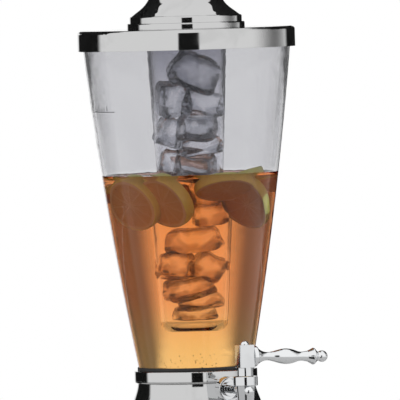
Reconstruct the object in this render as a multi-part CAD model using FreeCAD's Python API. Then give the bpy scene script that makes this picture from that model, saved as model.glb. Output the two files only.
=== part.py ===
import FreeCAD, Part

import math
import os

# A footed drink dispenser: a clear tapered tank on a flared pedestal, a lid that carries an
# ice tube, a domed cap over the tube, and a plug-valve tap with a turned lever.
# Millimetres. The origin is the middle of the foot's resting face, +Z is up, the front is -Y.
# Radii are outer radii unless the name says otherwise.

V = FreeCAD.Vector
ORIGIN = V(0, 0, 0)
X_AXIS = V(1, 0, 0)
Y_AXIS = V(0, 1, 0)
Z_AXIS = V(0, 0, 1)

# ---- driving dimensions -------------------------------------------------------------------

# Foot and pedestal
FOOT_RADIUS = 106.0
PEDESTAL_HEIGHT = 141.1        # table to the underside of the collar
PEDESTAL_SHEET = 1.6
PEDESTAL_INSET = 3.2           # the pedestal's neck stands this far inside the collar
PEDESTAL_SHOULDER_OUT = 5.1    # how far the shoulder stands out from the neck
PEDESTAL_SHOULDER_DROP = 17.9  # and how far it is below it
ANKLE_IN = 9.5                 # where the flare of the foot starts, inside the rim
ANKLE_HEIGHT = 28.0
RIM_HEIGHT = 8.0
RIM_LIFT = 1.5                 # the rim clears the table by this much
PAD_THICKNESS = 3.0
PLATE_THICKNESS = 3.0
LEDGE_THICKNESS = 2.0
LEDGE_WIDTH = 15.0
BASE_SCREWS = 6
BASE_SCREW_RADIUS = 2.0
BASE_SCREW_INSET = 9.0         # screw circle inside the rim
NUT_FLATS = 7.0
NUT_HEIGHT = 3.2
SCREW_END = 1.0                # screw tip above its nut
PLATE_GAP = 0.5                # base plate inside the rim
PAD_MARGIN = 3.0

# Collar and tank
COLLAR_HEIGHT = 12.6
COLLAR_WALL = 4.1
COLLAR_SPIGOT_DEPTH = 18.0
TANK_BASE_RADIUS = 57.7        # at the collar's top
TANK_MIDDLE_RADIUS = 86.23     # half way up to the brim
TANK_BRIM_RADIUS = 107.24
TANK_HEIGHT = 343.3            # collar's top to the brim
TANK_WALL = 4.5
TANK_SHOULDER = 11.7           # width of the step that rests on the seat
SUMP_DEPTH = 40.5              # below that step
SUMP_FLOOR = 5.0
SEAT_THICKNESS = 1.5
LEDGE_DEPTH = 6.7              # collar's top down to its inner ledge

# Lid, ice tube and dome
LID_SHEET = 1.5
LID_BAND = 20.7
LID_EDGE_ROUND = 3.5
LID_SKIRT_GAP = 2.2
LID_GASKET_THICKNESS = 2.4
LID_LIP_DEPTH = 9.0
LID_LIP_THICKNESS = 2.5
LIP_CLEARANCE = 0.4
TUBE_MOUTH_RADIUS = 41.6       # at the lid's top
TUBE_TIP_RADIUS = 26.0         # where its round end starts
TUBE_LENGTH = 305.4            # lid's top to the tip
TUBE_WALL = 3.0
TUBE_END_ROUND = 9.0
TUBE_FLANGE_WIDTH = 9.4
TUBE_FLANGE_THICKNESS = 3.2
TUBE_GASKET_THICKNESS = 1.2
NECK_RING_THICKNESS = 2.1
NECK_RING_WALL = 2.4
TUBE_CLEARANCE = 0.4
DOME_RING_HEIGHT = 6.1
DOME_RING_WIDTH = 5.9
DOME_RING_GAP = 3.2            # tube flange to the inside of the dome's ring
DOME_STEP = 2.8                # the dome's own rim inside the ring's outer edge
DOME_RIM_HEIGHT = 7.0
DOME_HEIGHT = 73.6             # lid's top to the dome's crown
DOME_WAIST_RADIUS = 34.2
DOME_WAIST_HEIGHT = 40.0       # lid's top to the waist
DOME_SHEET = 1.5
DOME_SEAL_THICKNESS = 1.2
DOME_SPIGOT_HEIGHT = 2.5       # the base ring's step inside the dome's rim
FINIAL_BALL_RADIUS = 10.5
FINIAL_BEAD_RADIUS = 8.5
FINIAL_NECK_RADIUS = 4.8
FINIAL_HEIGHT = 27.0
FINIAL_SCREW_RADIUS = 2.0
FINIAL_WASHER_THICKNESS = 1.0

# Tap: along its own axis from the tank outwards, and up its upright column
TAP_AZIMUTH = 20.0             # to the right of the front
TAP_DROP = 4.1                 # tap axis below the underside of the collar
BLOCK_SIDE = 20.4
BLOCK_DEPTH = 27.3             # collar's outside to the block's front
BLOCK_ROUND = 1.5
SHANK_RADIUS = 5.5
SHANK_BORE_RADIUS = 3.0
SHANK_FLANGE_RADIUS = 9.0
SHANK_FLANGE_THICKNESS = 1.6
WASHER_RADIUS = 9.0
WASHER_THICKNESS = 1.6
LOCK_NUT_FLATS = 16.0
LOCK_NUT_HEIGHT = 4.5
UNION_RADIUS = 12.5
UNION_LENGTH = 12.0
UNION_RECESS_DEPTH = 5.0
UNION_RIM = 1.9
UNION_HUB_RADIUS = 7.2
INLET_LENGTH = 43.3            # union nut's front to the column's axis
INLET_RADIUS = 4.1
INLET_BORE_RADIUS = 2.6
TAIL_FLANGE_THICKNESS = 2.5
BODY_TOP_RADIUS = 9.6
BODY_BOTTOM_RADIUS = 7.6
BODY_TOP = 5.2                 # above the tap axis
BODY_BOTTOM = 19.0             # below the tap axis
PLUG_RADIUS = 6.0
PLUG_PORT_RADIUS = 2.6
CHAMBER_DEPTH = 13.0           # tap axis to the chamber's floor
GROOVE_DEPTH = 1.2
GROOVE_WIDTH = 1.6
LOWER_GROOVE_DROP = 7.5        # tap axis down to the lower groove's bottom
UPPER_GROOVE_RISE = 4.5        # tap axis up to the upper groove's bottom
STEM_RADIUS = 4.0
BONNET_RADIUS = 12.3
BONNET_HEIGHT = 9.4
BONNET_SPIGOT_HEIGHT = 4.6
PACKING_HEIGHT = 2.4
HUB_SIDE = 15.8
HUB_HEIGHT = 23.2
HUB_ROUND = 0.8
HUB_NECK_RADIUS = 8.2
HUB_NECK_HEIGHT = 8.2
HUB_GAP = 0.4
SQUARE_SIDE = 5.6
CAP_RADIUS = 4.4
CAP_HEIGHT = 4.2
CAP_THREAD_RADIUS = 2.2
FRONT_SCREW_HEAD = 5.0
FRONT_SCREW_RADIUS = 2.0
FRONT_BOSS_RADIUS = 4.4
FRONT_BOSS_REACH = 10.8        # column's axis to the boss's face
SPOUT_RADIUS = 6.6
SPOUT_BORE_RADIUS = 4.2
SPOUT_COLLAR_RADIUS = 8.0
SPOUT_COLLAR_HEIGHT = 5.6
SPOUT_SPIGOT_RADIUS = 6.0
SPOUT_SPIGOT_LENGTH = 3.0
SPOUT_LENGTH = 20.0            # underside of the valve body to the tip
SPOUT_GASKET_THICKNESS = 0.9

# Lever, along its own axis from the column's axis
LEVER_DROOP = 2.4              # degrees below level
DISC_RADIUS = 10.4
DISC_END = 12.6
LEVER_NECK_AT = 23.6
LEVER_NECK_RADIUS = 4.2
LEVER_SWELL_AT = 33.6
LEVER_SWELL_RADIUS = 6.1
BULGE_AT = 43.8
BULGE_RADIUS = 7.85
TAPER_AT = 52.4
TAPER_RADIUS = 6.5
WAIST_AT = 60.6
WAIST_RADIUS = 4.55
THROAT_AT = 66.4
THROAT_RADIUS = 5.35
BEAD_AT = 73.2
BEAD_RADIUS = 8.45
GROOVE_AT = 77.4
GROOVE_RADIUS = 4.7
BALL_AT = 82.6
BALL_RADIUS = 5.8
STUD_RADIUS = 2.5
STUD_END = 20.0

# Fits
RUNNING_CLEARANCE = 0.05
ASSEMBLY_CLEARANCE = 0.1
PART_GAP = 0.3                 # between pieces that move past each other

# ---- levels and places that follow --------------------------------------------------------

PLATE_TOP = PAD_THICKNESS + PLATE_THICKNESS
LEDGE_TOP = PLATE_TOP + LEDGE_THICKNESS
COLLAR_TOP = PEDESTAL_HEIGHT + COLLAR_HEIGHT
SEAT_LEVEL = COLLAR_TOP - LEDGE_DEPTH
TANK_STEP = SEAT_LEVEL + SEAT_THICKNESS
SUMP_BOTTOM = TANK_STEP - SUMP_DEPTH
BRIM = COLLAR_TOP + TANK_HEIGHT
TANK_MIDDLE = (COLLAR_TOP + BRIM) / 2
LID_UNDERSIDE = BRIM + LID_GASKET_THICKNESS
LID_TOP = LID_UNDERSIDE + LID_SHEET
NECK_RING_TOP = LID_TOP + NECK_RING_THICKNESS
FLANGE_UNDERSIDE = NECK_RING_TOP + TUBE_GASKET_THICKNESS
TUBE_TOP = FLANGE_UNDERSIDE + TUBE_FLANGE_THICKNESS
TUBE_TIP = LID_TOP - TUBE_LENGTH
DOME_RING_TOP = LID_TOP + DOME_RING_HEIGHT
DOME_CROWN = LID_TOP + DOME_HEIGHT

SUMP_RADIUS = TANK_BASE_RADIUS - TANK_SHOULDER
SUMP_BORE = SUMP_RADIUS - TANK_WALL
COLLAR_BORE = TANK_BASE_RADIUS + 0.9
COLLAR_RADIUS = COLLAR_BORE + COLLAR_WALL
NECK_RADIUS = COLLAR_RADIUS - PEDESTAL_INSET
SPIGOT_RADIUS = NECK_RADIUS - PEDESTAL_SHEET - ASSEMBLY_CLEARANCE
LEDGE_BORE = SUMP_RADIUS + 4.0
LID_INNER_RADIUS = TANK_BRIM_RADIUS + LID_SKIRT_GAP
LID_RADIUS = LID_INNER_RADIUS + LID_SHEET
FLANGE_RADIUS = TUBE_MOUTH_RADIUS + TUBE_FLANGE_WIDTH
NECK_RING_BORE = TUBE_MOUTH_RADIUS + TUBE_CLEARANCE
LID_HOLE_RADIUS = NECK_RING_BORE + NECK_RING_WALL + ASSEMBLY_CLEARANCE
DOME_RING_BORE = FLANGE_RADIUS + DOME_RING_GAP
DOME_RING_RADIUS = DOME_RING_BORE + DOME_RING_WIDTH
DOME_RADIUS = DOME_RING_RADIUS - DOME_STEP

TAP_LEVEL = PEDESTAL_HEIGHT - TAP_DROP
BLOCK_FRONT = COLLAR_RADIUS + BLOCK_DEPTH
UNION_FRONT = BLOCK_FRONT + UNION_LENGTH
COLUMN = UNION_FRONT + INLET_LENGTH        # tank axis to the column's axis
SHANK_END = UNION_FRONT - TAIL_FLANGE_THICKNESS - 1.5
BONNET_BOTTOM = TAP_LEVEL + BODY_TOP
BONNET_TOP = BONNET_BOTTOM + BONNET_HEIGHT
HUB_BOTTOM = BONNET_TOP + HUB_GAP
HUB_BLOCK_BOTTOM = HUB_BOTTOM + HUB_NECK_HEIGHT
HUB_TOP = HUB_BLOCK_BOTTOM + HUB_HEIGHT
LEVER_LEVEL = (HUB_BLOCK_BOTTOM + HUB_TOP) / 2
BODY_UNDERSIDE = TAP_LEVEL - BODY_BOTTOM
SPOUT_TIP = BODY_UNDERSIDE - SPOUT_LENGTH
CHAMBER_RADIUS = PLUG_RADIUS + RUNNING_CLEARANCE
CHAMBER_FLOOR = TAP_LEVEL - CHAMBER_DEPTH
STEM_BORE = STEM_RADIUS + RUNNING_CLEARANCE


# ---- helpers ------------------------------------------------------------------------------


class Outline:
    """A half section in radius and height, walked point by point and then revolved."""

    def __init__(self, radius, height):
        self.start = V(radius, 0, height)
        self.here = self.start
        self.edges = []

    def line(self, radius, height):
        there = V(radius, 0, height)
        self.edges.append(Part.LineSegment(self.here, there).toShape())
        self.here = there
        return self

    def arc(self, through, end):
        middle = V(through[0], 0, through[1])
        there = V(end[0], 0, end[1])
        self.edges.append(Part.Arc(self.here, middle, there).toShape())
        self.here = there
        return self

    def dome(self, rise):
        """A spherical cap from here up to the axis."""
        sphere = (self.here.x ** 2 + rise ** 2) / (2 * rise)
        half = math.atan2(self.here.x, sphere - rise) / 2
        top = self.here.z + rise
        middle = (sphere * math.sin(half), top - sphere * (1 - math.cos(half)))
        return self.arc(middle, (0, top))

    def curve(self, points, leave=None, arrive=None):
        knots = [self.here] + [V(r, 0, z) for r, z in points]
        spline = Part.BSplineCurve()
        if leave and arrive:
            first = V(leave[0], 0, leave[1])
            last = V(arrive[0], 0, arrive[1])
            spline.interpolate(Points=knots, InitialTangent=first, FinalTangent=last)
        else:
            spline.interpolate(Points=knots)
        self.edges.append(spline.toShape())
        self.here = knots[-1]
        return self

    def solid(self):
        if self.here.distanceToPoint(self.start) > 1e-6:
            self.line(self.start.x, self.start.z)
        return revolved(Part.Wire(self.edges))


def revolved(wire):
    return Part.Face(wire).revolve(ORIGIN, Z_AXIS, 360)


def disc(radius, bottom, top):
    return Part.makeCylinder(radius, top - bottom, V(0, 0, bottom))


def ring(inner, outer, bottom, top):
    return disc(outer, bottom, top).cut(disc(inner, bottom, top))


def plain_edge(edge):
    """The same edge as a line, an arc or a B-spline: an offset curve does not last in a STEP file."""
    if edge.Curve.TypeId in ("Part::GeomLine", "Part::GeomCircle"):
        return edge
    return edge.Curve.toBSpline(edge.FirstParameter, edge.LastParameter).toShape()


def sheet(wire, thickness):
    """A revolved sheet of even thickness on the inner side of a half section."""
    section = wire.makeOffset2D(-thickness, 0, True, True, False).OuterWire
    edges = [plain_edge(edge) for edge in section.Edges]
    return revolved(Part.Wire(Part.__sortEdges__(edges)))


def rounded(shape, radius, test):
    return shape.makeFillet(radius, [edge for edge in shape.Edges if test(edge)])


def is_level_at(height):
    def test(edge):
        box = edge.BoundBox
        return abs(box.ZMin - height) < 1e-6 and abs(box.ZMax - height) < 1e-6
    return test


def is_upright(edge):
    box = edge.BoundBox
    return box.XLength < 1e-6 and box.YLength < 1e-6


def hexagon(flats, bottom, top):
    corner = flats / math.sqrt(3)
    turns = [math.radians(60 * k) for k in range(7)]
    points = [V(corner * math.cos(a), corner * math.sin(a), bottom) for a in turns]
    return Part.Face(Part.makePolygon(points)).extrude(V(0, 0, top - bottom))


def square_bar(side, bottom, top):
    return Part.makeBox(side, side, top - bottom, V(-side / 2, -side / 2, bottom))


def along_front(shape):
    """Lays a piece that was built up +Z along the tap axis, pointing out of the front."""
    laid = shape.copy()
    laid.rotate(ORIGIN, X_AXIS, 90)
    laid.translate(V(0, 0, TAP_LEVEL))
    return laid


def at_column(shape):
    moved = shape.copy()
    moved.translate(V(0, -COLUMN, 0))
    return moved


def at_tap(shape):
    """Turns a piece from the front to where the tap stands."""
    turned = shape.copy()
    turned.rotate(ORIGIN, Z_AXIS, TAP_AZIMUTH)
    return turned


def around(shape, count, start=0.0):
    copies = []
    for k in range(count):
        copy = shape.copy()
        copy.rotate(ORIGIN, Z_AXIS, start + 360.0 * k / count)
        copies.append(copy)
    return Part.makeCompound(copies)


# ---- foot and pedestal --------------------------------------------------------------------


def pedestal_outline():
    flare = Outline(NECK_RADIUS, PEDESTAL_HEIGHT)
    shoulder = (NECK_RADIUS + PEDESTAL_SHOULDER_OUT, PEDESTAL_HEIGHT - PEDESTAL_SHOULDER_DROP)
    ankle = (FOOT_RADIUS - ANKLE_IN, ANKLE_HEIGHT)
    flare.curve([shoulder, ankle, (FOOT_RADIUS, RIM_HEIGHT)], (0.12, -1.0), (0.62, -1.0))
    flare.line(FOOT_RADIUS, RIM_LIFT)
    return flare


def shank_hole():
    reach = BLOCK_FRONT
    return at_tap(along_front(disc(SHANK_RADIUS + ASSEMBLY_CLEARANCE, 0, reach)))


def on_screw_circle(shape):
    """Six copies of a piece that was built on the axis, spread over the base screws' circle."""
    moved = shape.copy()
    moved.translate(V(FOOT_RADIUS - BASE_SCREW_INSET, 0, 0))
    return around(moved, BASE_SCREWS)


def screw_holes():
    return on_screw_circle(disc(BASE_SCREW_RADIUS + ASSEMBLY_CLEARANCE, 0, LEDGE_TOP))


def screw_head():
    """A countersunk head, twice as wide as its shank, flush with the plate's underside."""
    wide = 2 * BASE_SCREW_RADIUS
    return Part.makeCone(wide, BASE_SCREW_RADIUS, BASE_SCREW_RADIUS, V(0, 0, PAD_THICKNESS))


def pedestal():
    shell = sheet(Part.Wire(pedestal_outline().edges), PEDESTAL_SHEET)
    ledge = ring(FOOT_RADIUS - LEDGE_WIDTH, FOOT_RADIUS - PEDESTAL_SHEET / 2, PLATE_TOP, LEDGE_TOP)
    mouth = disc(COLLAR_RADIUS, PEDESTAL_HEIGHT, COLLAR_TOP)
    return shell.fuse(ledge).cut(mouth).cut(screw_holes()).cut(shank_hole()).removeSplitter()


def base_plate():
    plate = disc(FOOT_RADIUS - PEDESTAL_SHEET - PLATE_GAP, PAD_THICKNESS, PLATE_TOP)
    return plate.cut(screw_holes()).cut(on_screw_circle(screw_head()))


def base_plate_screws():
    shank = disc(BASE_SCREW_RADIUS, PAD_THICKNESS, LEDGE_TOP + NUT_HEIGHT + SCREW_END)
    return on_screw_circle(screw_head().fuse(shank).removeSplitter())


def base_plate_nuts():
    top = LEDGE_TOP + NUT_HEIGHT
    return on_screw_circle(hexagon(NUT_FLATS, LEDGE_TOP, top).cut(disc(BASE_SCREW_RADIUS, LEDGE_TOP, top)))


def foot_pad():
    pad = disc(FOOT_RADIUS - PEDESTAL_SHEET - PAD_MARGIN, 0, PAD_THICKNESS)
    return rounded(pad, 0.6, is_level_at(0))


# ---- collar and tank ----------------------------------------------------------------------


def collar_outside():
    """The collar's outer form, filled in: what the tap block is shaped to."""
    body = disc(COLLAR_RADIUS, PEDESTAL_HEIGHT, COLLAR_TOP)
    body = rounded(body, 2.6, is_level_at(PEDESTAL_HEIGHT))
    return rounded(body, 0.8, is_level_at(COLLAR_TOP))


def base_collar():
    spigot = disc(SPIGOT_RADIUS, PEDESTAL_HEIGHT - COLLAR_SPIGOT_DEPTH, PEDESTAL_HEIGHT)
    body = collar_outside().fuse(spigot)
    body = body.cut(disc(LEDGE_BORE, 0, COLLAR_TOP)).cut(disc(COLLAR_BORE, SEAT_LEVEL, COLLAR_TOP))
    return body.cut(shank_hole()).removeSplitter()


def tank_outside():
    """The tank's outer form, filled in."""
    base = TANK_BASE_RADIUS - 0.7
    form = Outline(0, SUMP_BOTTOM).line(SUMP_RADIUS, SUMP_BOTTOM).line(SUMP_RADIUS, TANK_STEP)
    form.line(base - 1.8, TANK_STEP).arc((base - 0.5, TANK_STEP + 0.6), (base, TANK_STEP + 2.0))
    form.arc((TANK_MIDDLE_RADIUS, TANK_MIDDLE), (TANK_BRIM_RADIUS, BRIM))
    return form.line(0, BRIM).solid()


def tank_inside():
    """The hollow of the tank, to above its brim."""
    floor = TANK_STEP + 5.5
    form = Outline(0, SUMP_BOTTOM + SUMP_FLOOR).line(SUMP_BORE, SUMP_BOTTOM + SUMP_FLOOR)
    form.line(SUMP_BORE, TANK_STEP + 2.0).line(TANK_BASE_RADIUS - TANK_WALL - 0.3, floor)
    form.arc((TANK_MIDDLE_RADIUS - TANK_WALL, TANK_MIDDLE), (TANK_BRIM_RADIUS - TANK_WALL, BRIM))
    return form.line(0, BRIM).solid()


def tank():
    body = tank_outside().cut(tank_inside())
    body = rounded(body, 1.2, is_level_at(BRIM))
    return body.cut(shank_hole())


def tank_seat():
    return ring(SUMP_RADIUS + 4.5, TANK_BASE_RADIUS - 2.6, SEAT_LEVEL, TANK_STEP)


def collar_gasket():
    band = ring(TANK_BASE_RADIUS - 4.0, COLLAR_BORE, TANK_STEP + 2.2, COLLAR_TOP - 0.8)
    return band.cut(tank_outside())


# ---- lid, tube and dome -------------------------------------------------------------------


def lid():
    top = Outline(LID_HOLE_RADIUS, LID_TOP).line(LID_RADIUS - LID_EDGE_ROUND, LID_TOP)
    bend = LID_EDGE_ROUND * (1 - math.sqrt(0.5))
    top.arc((LID_RADIUS - bend, LID_TOP - bend), (LID_RADIUS, LID_TOP - LID_EDGE_ROUND))
    top.line(LID_RADIUS, LID_TOP - LID_BAND)
    return sheet(Part.Wire(top.edges), LID_SHEET)


def lid_gasket():
    lip_bottom = BRIM - LID_LIP_DEPTH
    share = LID_LIP_DEPTH / (TANK_HEIGHT / 2)
    narrowing = (TANK_BRIM_RADIUS - TANK_MIDDLE_RADIUS) * share
    lip = TANK_BRIM_RADIUS - TANK_WALL - narrowing - LIP_CLEARANCE
    flat = ring(lip - LID_LIP_THICKNESS, TANK_BRIM_RADIUS - 0.4, BRIM, LID_UNDERSIDE)
    return flat.fuse(ring(lip - LID_LIP_THICKNESS, lip, lip_bottom, BRIM)).removeSplitter()


def lid_neck_ring():
    wall = NECK_RING_BORE + NECK_RING_WALL
    sleeve = ring(NECK_RING_BORE, wall, LID_UNDERSIDE - 3.0, NECK_RING_TOP)
    rim = ring(NECK_RING_BORE, FLANGE_RADIUS + 1.0, LID_TOP, NECK_RING_TOP)
    catch = ring(NECK_RING_BORE, wall + 1.8, LID_UNDERSIDE - 2.0, LID_UNDERSIDE)
    return sleeve.fuse(rim).fuse(catch).removeSplitter()


def tube_gasket():
    return ring(NECK_RING_BORE + 0.6, FLANGE_RADIUS, NECK_RING_TOP, FLANGE_UNDERSIDE)


def tube_form(inset):
    """The tube's tapered form, filled in, drawn in by inset on every side."""
    tip = TUBE_TIP + inset
    turn = tip + TUBE_END_ROUND
    bend = TUBE_END_ROUND * (1 - math.sqrt(0.5))
    foot = TUBE_TIP_RADIUS - inset
    form = Outline(0, tip).line(foot - TUBE_END_ROUND, tip)
    form.arc((foot - bend, tip + bend), (foot, turn))
    mouth = TUBE_MOUTH_RADIUS - inset
    return form.line(mouth, LID_TOP).line(mouth, TUBE_TOP).line(0, TUBE_TOP).solid()


def ice_tube():
    flange = rounded(disc(FLANGE_RADIUS, FLANGE_UNDERSIDE, TUBE_TOP), 0.8, is_level_at(TUBE_TOP))
    return tube_form(0).fuse(flange).cut(tube_form(TUBE_WALL)).removeSplitter()


def dome_seal():
    """Lies in the groove under the dome's base ring."""
    land = 0.8
    return ring(DOME_RING_BORE + land, DOME_RING_RADIUS - land, LID_TOP, LID_TOP + DOME_SEAL_THICKNESS)


def dome_base_ring():
    def outer_top(edge):
        return is_level_at(DOME_RING_TOP)(edge) and edge.BoundBox.XMax > DOME_RADIUS

    body = rounded(ring(DOME_RING_BORE, DOME_RING_RADIUS, LID_TOP, DOME_RING_TOP), 1.2, outer_top)
    fit = DOME_RADIUS - DOME_SHEET - ASSEMBLY_CLEARANCE
    step = ring(DOME_RING_BORE, fit, DOME_RING_TOP, DOME_RING_TOP + DOME_SPIGOT_HEIGHT)
    return body.fuse(step).cut(dome_seal()).removeSplitter()


def dome():
    """A spun bell: crown, breast, waist and flare down to an upright rim."""
    shoulder = DOME_RING_TOP + DOME_RIM_HEIGHT
    brow = (DOME_WAIST_RADIUS - 14.5, DOME_CROWN - 3.6)
    breast = (DOME_WAIST_RADIUS - 3.2, DOME_CROWN - 16.0)
    waist = (DOME_WAIST_RADIUS, LID_TOP + DOME_WAIST_HEIGHT)
    flare_top = (DOME_RADIUS - 18.6, LID_TOP + 28.5)
    flare_middle = (DOME_RADIUS - 13.7, LID_TOP + 22.4)
    flare_foot = (DOME_RADIUS - 5.7, LID_TOP + 16.2)
    lip = (DOME_RADIUS - 1.7, shoulder + 0.1)
    form = Outline(FINIAL_SCREW_RADIUS + ASSEMBLY_CLEARANCE, DOME_CROWN)
    form.curve([brow, breast, waist, flare_top, flare_middle, flare_foot, lip], (1.0, 0.0), (1.4, -1.0))
    form.arc((DOME_RADIUS - 0.5, shoulder - 0.4), (DOME_RADIUS, shoulder - 1.5))
    form.line(DOME_RADIUS, DOME_RING_TOP)
    return sheet(Part.Wire(form.edges), DOME_SHEET)


def finial_washer():
    bore = FINIAL_SCREW_RADIUS + ASSEMBLY_CLEARANCE
    return ring(bore, FINIAL_BEAD_RADIUS + 1.0, DOME_CROWN, DOME_CROWN + FINIAL_WASHER_THICKNESS)


def finial():
    foot = DOME_CROWN + FINIAL_WASHER_THICKNESS
    ball = foot + FINIAL_HEIGHT - FINIAL_BALL_RADIUS
    neck = foot + 5.4
    drop = math.sqrt(FINIAL_BALL_RADIUS ** 2 - FINIAL_NECK_RADIUS ** 2)
    form = Outline(0, foot).line(FINIAL_BEAD_RADIUS - 0.8, foot)
    form.arc((FINIAL_BEAD_RADIUS, foot + 1.6), (FINIAL_BEAD_RADIUS - 0.8, foot + 3.2))
    form.curve([(FINIAL_NECK_RADIUS, neck)], (-1.0, 0.1), (0.0, 1.0)).line(FINIAL_NECK_RADIUS, ball - drop)
    form.arc((FINIAL_BALL_RADIUS, ball), (0, ball + FINIAL_BALL_RADIUS))
    thread = disc(FINIAL_SCREW_RADIUS, foot, foot + 13.0)
    return form.solid().cut(thread)


def finial_screw():
    head_top = DOME_CROWN - DOME_SHEET
    shaft = disc(FINIAL_SCREW_RADIUS, head_top - 2.2, DOME_CROWN + 12.0)
    return shaft.fuse(disc(4.0, head_top - 2.6, head_top)).removeSplitter()


# ---- tap, fixed pieces --------------------------------------------------------------------


def tap_block():
    back = SPIGOT_RADIUS * math.cos(math.asin(BLOCK_SIDE / 2 / SPIGOT_RADIUS)) - PEDESTAL_SHEET
    block = square_bar(BLOCK_SIDE, back, BLOCK_FRONT)
    block = rounded(block, BLOCK_ROUND, is_upright)
    block = rounded(block, 0.5, is_level_at(BLOCK_FRONT))
    block = block.cut(disc(SHANK_RADIUS + ASSEMBLY_CLEARANCE, 0, BLOCK_FRONT))
    foot = pedestal_outline().line(0, RIM_LIFT).line(0, PEDESTAL_HEIGHT).solid()
    return at_tap(along_front(block)).cut(collar_outside()).cut(foot)


def tap_shank():
    flange_back = SUMP_RADIUS + WASHER_THICKNESS
    nose = SUMP_BORE - 2 * WASHER_THICKNESS - LOCK_NUT_HEIGHT - 2.5
    body = disc(SHANK_RADIUS, nose, SHANK_END)
    body = body.fuse(disc(SHANK_FLANGE_RADIUS, flange_back, flange_back + SHANK_FLANGE_THICKNESS))
    return at_tap(along_front(body.cut(disc(SHANK_BORE_RADIUS, nose, SHANK_END)).removeSplitter()))


def shank_washer(low, high):
    return at_tap(along_front(ring(SHANK_RADIUS, WASHER_RADIUS, low, high)))


def shank_outer_washer():
    wall = Part.makeCylinder(SUMP_RADIUS, SUMP_DEPTH, V(0, 0, SUMP_BOTTOM))
    return shank_washer(SUMP_RADIUS - 2.0, SUMP_RADIUS + WASHER_THICKNESS).cut(wall)


def sump_flat():
    """Distance from the tank's axis to the flat back of the washer on the sump's inner wall."""
    return math.sqrt(SUMP_BORE ** 2 - WASHER_RADIUS ** 2) - WASHER_THICKNESS


def shank_inner_washer():
    hollow = Part.makeCylinder(SUMP_BORE, SUMP_DEPTH, V(0, 0, SUMP_BOTTOM))
    return shank_washer(sump_flat(), SUMP_BORE + 1.0).common(hollow)


def shank_backing_washer():
    return shank_washer(sump_flat() - 1.0, sump_flat())


def shank_lock_nut():
    face = sump_flat() - 1.0
    nut = hexagon(LOCK_NUT_FLATS, face - LOCK_NUT_HEIGHT, face).cut(disc(SHANK_RADIUS, 0, face))
    return at_tap(along_front(nut))


def union_nut():
    floor = UNION_FRONT - UNION_RECESS_DEPTH
    body = disc(UNION_RADIUS, BLOCK_FRONT, UNION_FRONT)
    body = rounded(body, 0.8, is_level_at(UNION_FRONT))
    body = body.cut(ring(UNION_HUB_RADIUS, UNION_RADIUS - UNION_RIM, floor, UNION_FRONT))
    body = body.cut(disc(SHANK_RADIUS, BLOCK_FRONT, UNION_FRONT - 1.5))
    return at_tap(along_front(body.cut(disc(INLET_RADIUS + ASSEMBLY_CLEARANCE, BLOCK_FRONT, UNION_FRONT))))


def tap_body():
    """Tapered valve housing with its inlet pipe, front boss and plug chamber."""
    foot = V(0, 0, BODY_UNDERSIDE)
    taper = Part.makeCone(BODY_BOTTOM_RADIUS, BODY_TOP_RADIUS, BODY_TOP + BODY_BOTTOM, foot)
    spigot = disc(BODY_TOP_RADIUS - 1.0, BONNET_BOTTOM, BONNET_BOTTOM + BONNET_SPIGOT_HEIGHT)
    housing = at_column(taper.fuse(spigot))
    flange = disc(SHANK_RADIUS, SHANK_END, SHANK_END + TAIL_FLANGE_THICKNESS)
    inlet = disc(INLET_RADIUS, SHANK_END, COLUMN).fuse(flange)
    boss = disc(FRONT_BOSS_RADIUS, COLUMN, COLUMN + FRONT_BOSS_REACH)
    body = housing.fuse(along_front(inlet)).fuse(along_front(boss))
    chamber = disc(CHAMBER_RADIUS, CHAMBER_FLOOR, BONNET_BOTTOM + BONNET_SPIGOT_HEIGHT)
    outlet = disc(SPOUT_BORE_RADIUS, BODY_UNDERSIDE, CHAMBER_FLOOR)
    socket = disc(SPOUT_SPIGOT_RADIUS, BODY_UNDERSIDE, BODY_UNDERSIDE + SPOUT_SPIGOT_LENGTH)
    body = body.cut(at_column(chamber.fuse(outlet).fuse(socket)))
    body = body.cut(along_front(disc(INLET_BORE_RADIUS, SHANK_END, COLUMN)))
    body = body.cut(along_front(disc(FRONT_SCREW_RADIUS, COLUMN, COLUMN + FRONT_BOSS_REACH)))
    return at_tap(body.removeSplitter())


def clean_out_screw():
    face = COLUMN + FRONT_BOSS_REACH
    shaft = disc(FRONT_SCREW_RADIUS, COLUMN + CHAMBER_RADIUS + PART_GAP, face)
    head = Outline(0, face).line(FRONT_SCREW_HEAD, face).line(FRONT_SCREW_HEAD, face + 0.6)
    head.dome(2.6)
    return at_tap(along_front(shaft.fuse(head.solid()).removeSplitter()))


def bonnet_nut():
    def rim(edge):
        return edge.BoundBox.XLength > BONNET_RADIUS

    body = rounded(disc(BONNET_RADIUS, BONNET_BOTTOM, BONNET_TOP), 0.7, rim)
    body = body.cut(disc(BODY_TOP_RADIUS - 1.0, BONNET_BOTTOM, BONNET_BOTTOM + BONNET_SPIGOT_HEIGHT))
    return at_tap(at_column(body.cut(disc(STEM_BORE, BONNET_BOTTOM, BONNET_TOP))))


def stem_packing():
    top = BONNET_BOTTOM + BONNET_SPIGOT_HEIGHT
    return at_tap(at_column(ring(STEM_BORE, CHAMBER_RADIUS, top - PACKING_HEIGHT, top)))


def spout():
    collar_top = BODY_UNDERSIDE - SPOUT_GASKET_THICKNESS
    body = disc(SPOUT_RADIUS, SPOUT_TIP, collar_top)
    body = rounded(body, 0.8, is_level_at(SPOUT_TIP))
    body = body.fuse(disc(SPOUT_COLLAR_RADIUS, collar_top - SPOUT_COLLAR_HEIGHT, collar_top))
    body = body.fuse(disc(SPOUT_SPIGOT_RADIUS, collar_top, BODY_UNDERSIDE + SPOUT_SPIGOT_LENGTH))
    bore = disc(SPOUT_BORE_RADIUS, SPOUT_TIP, BODY_UNDERSIDE + SPOUT_SPIGOT_LENGTH)
    return at_tap(at_column(body.cut(bore).removeSplitter()))


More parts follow.
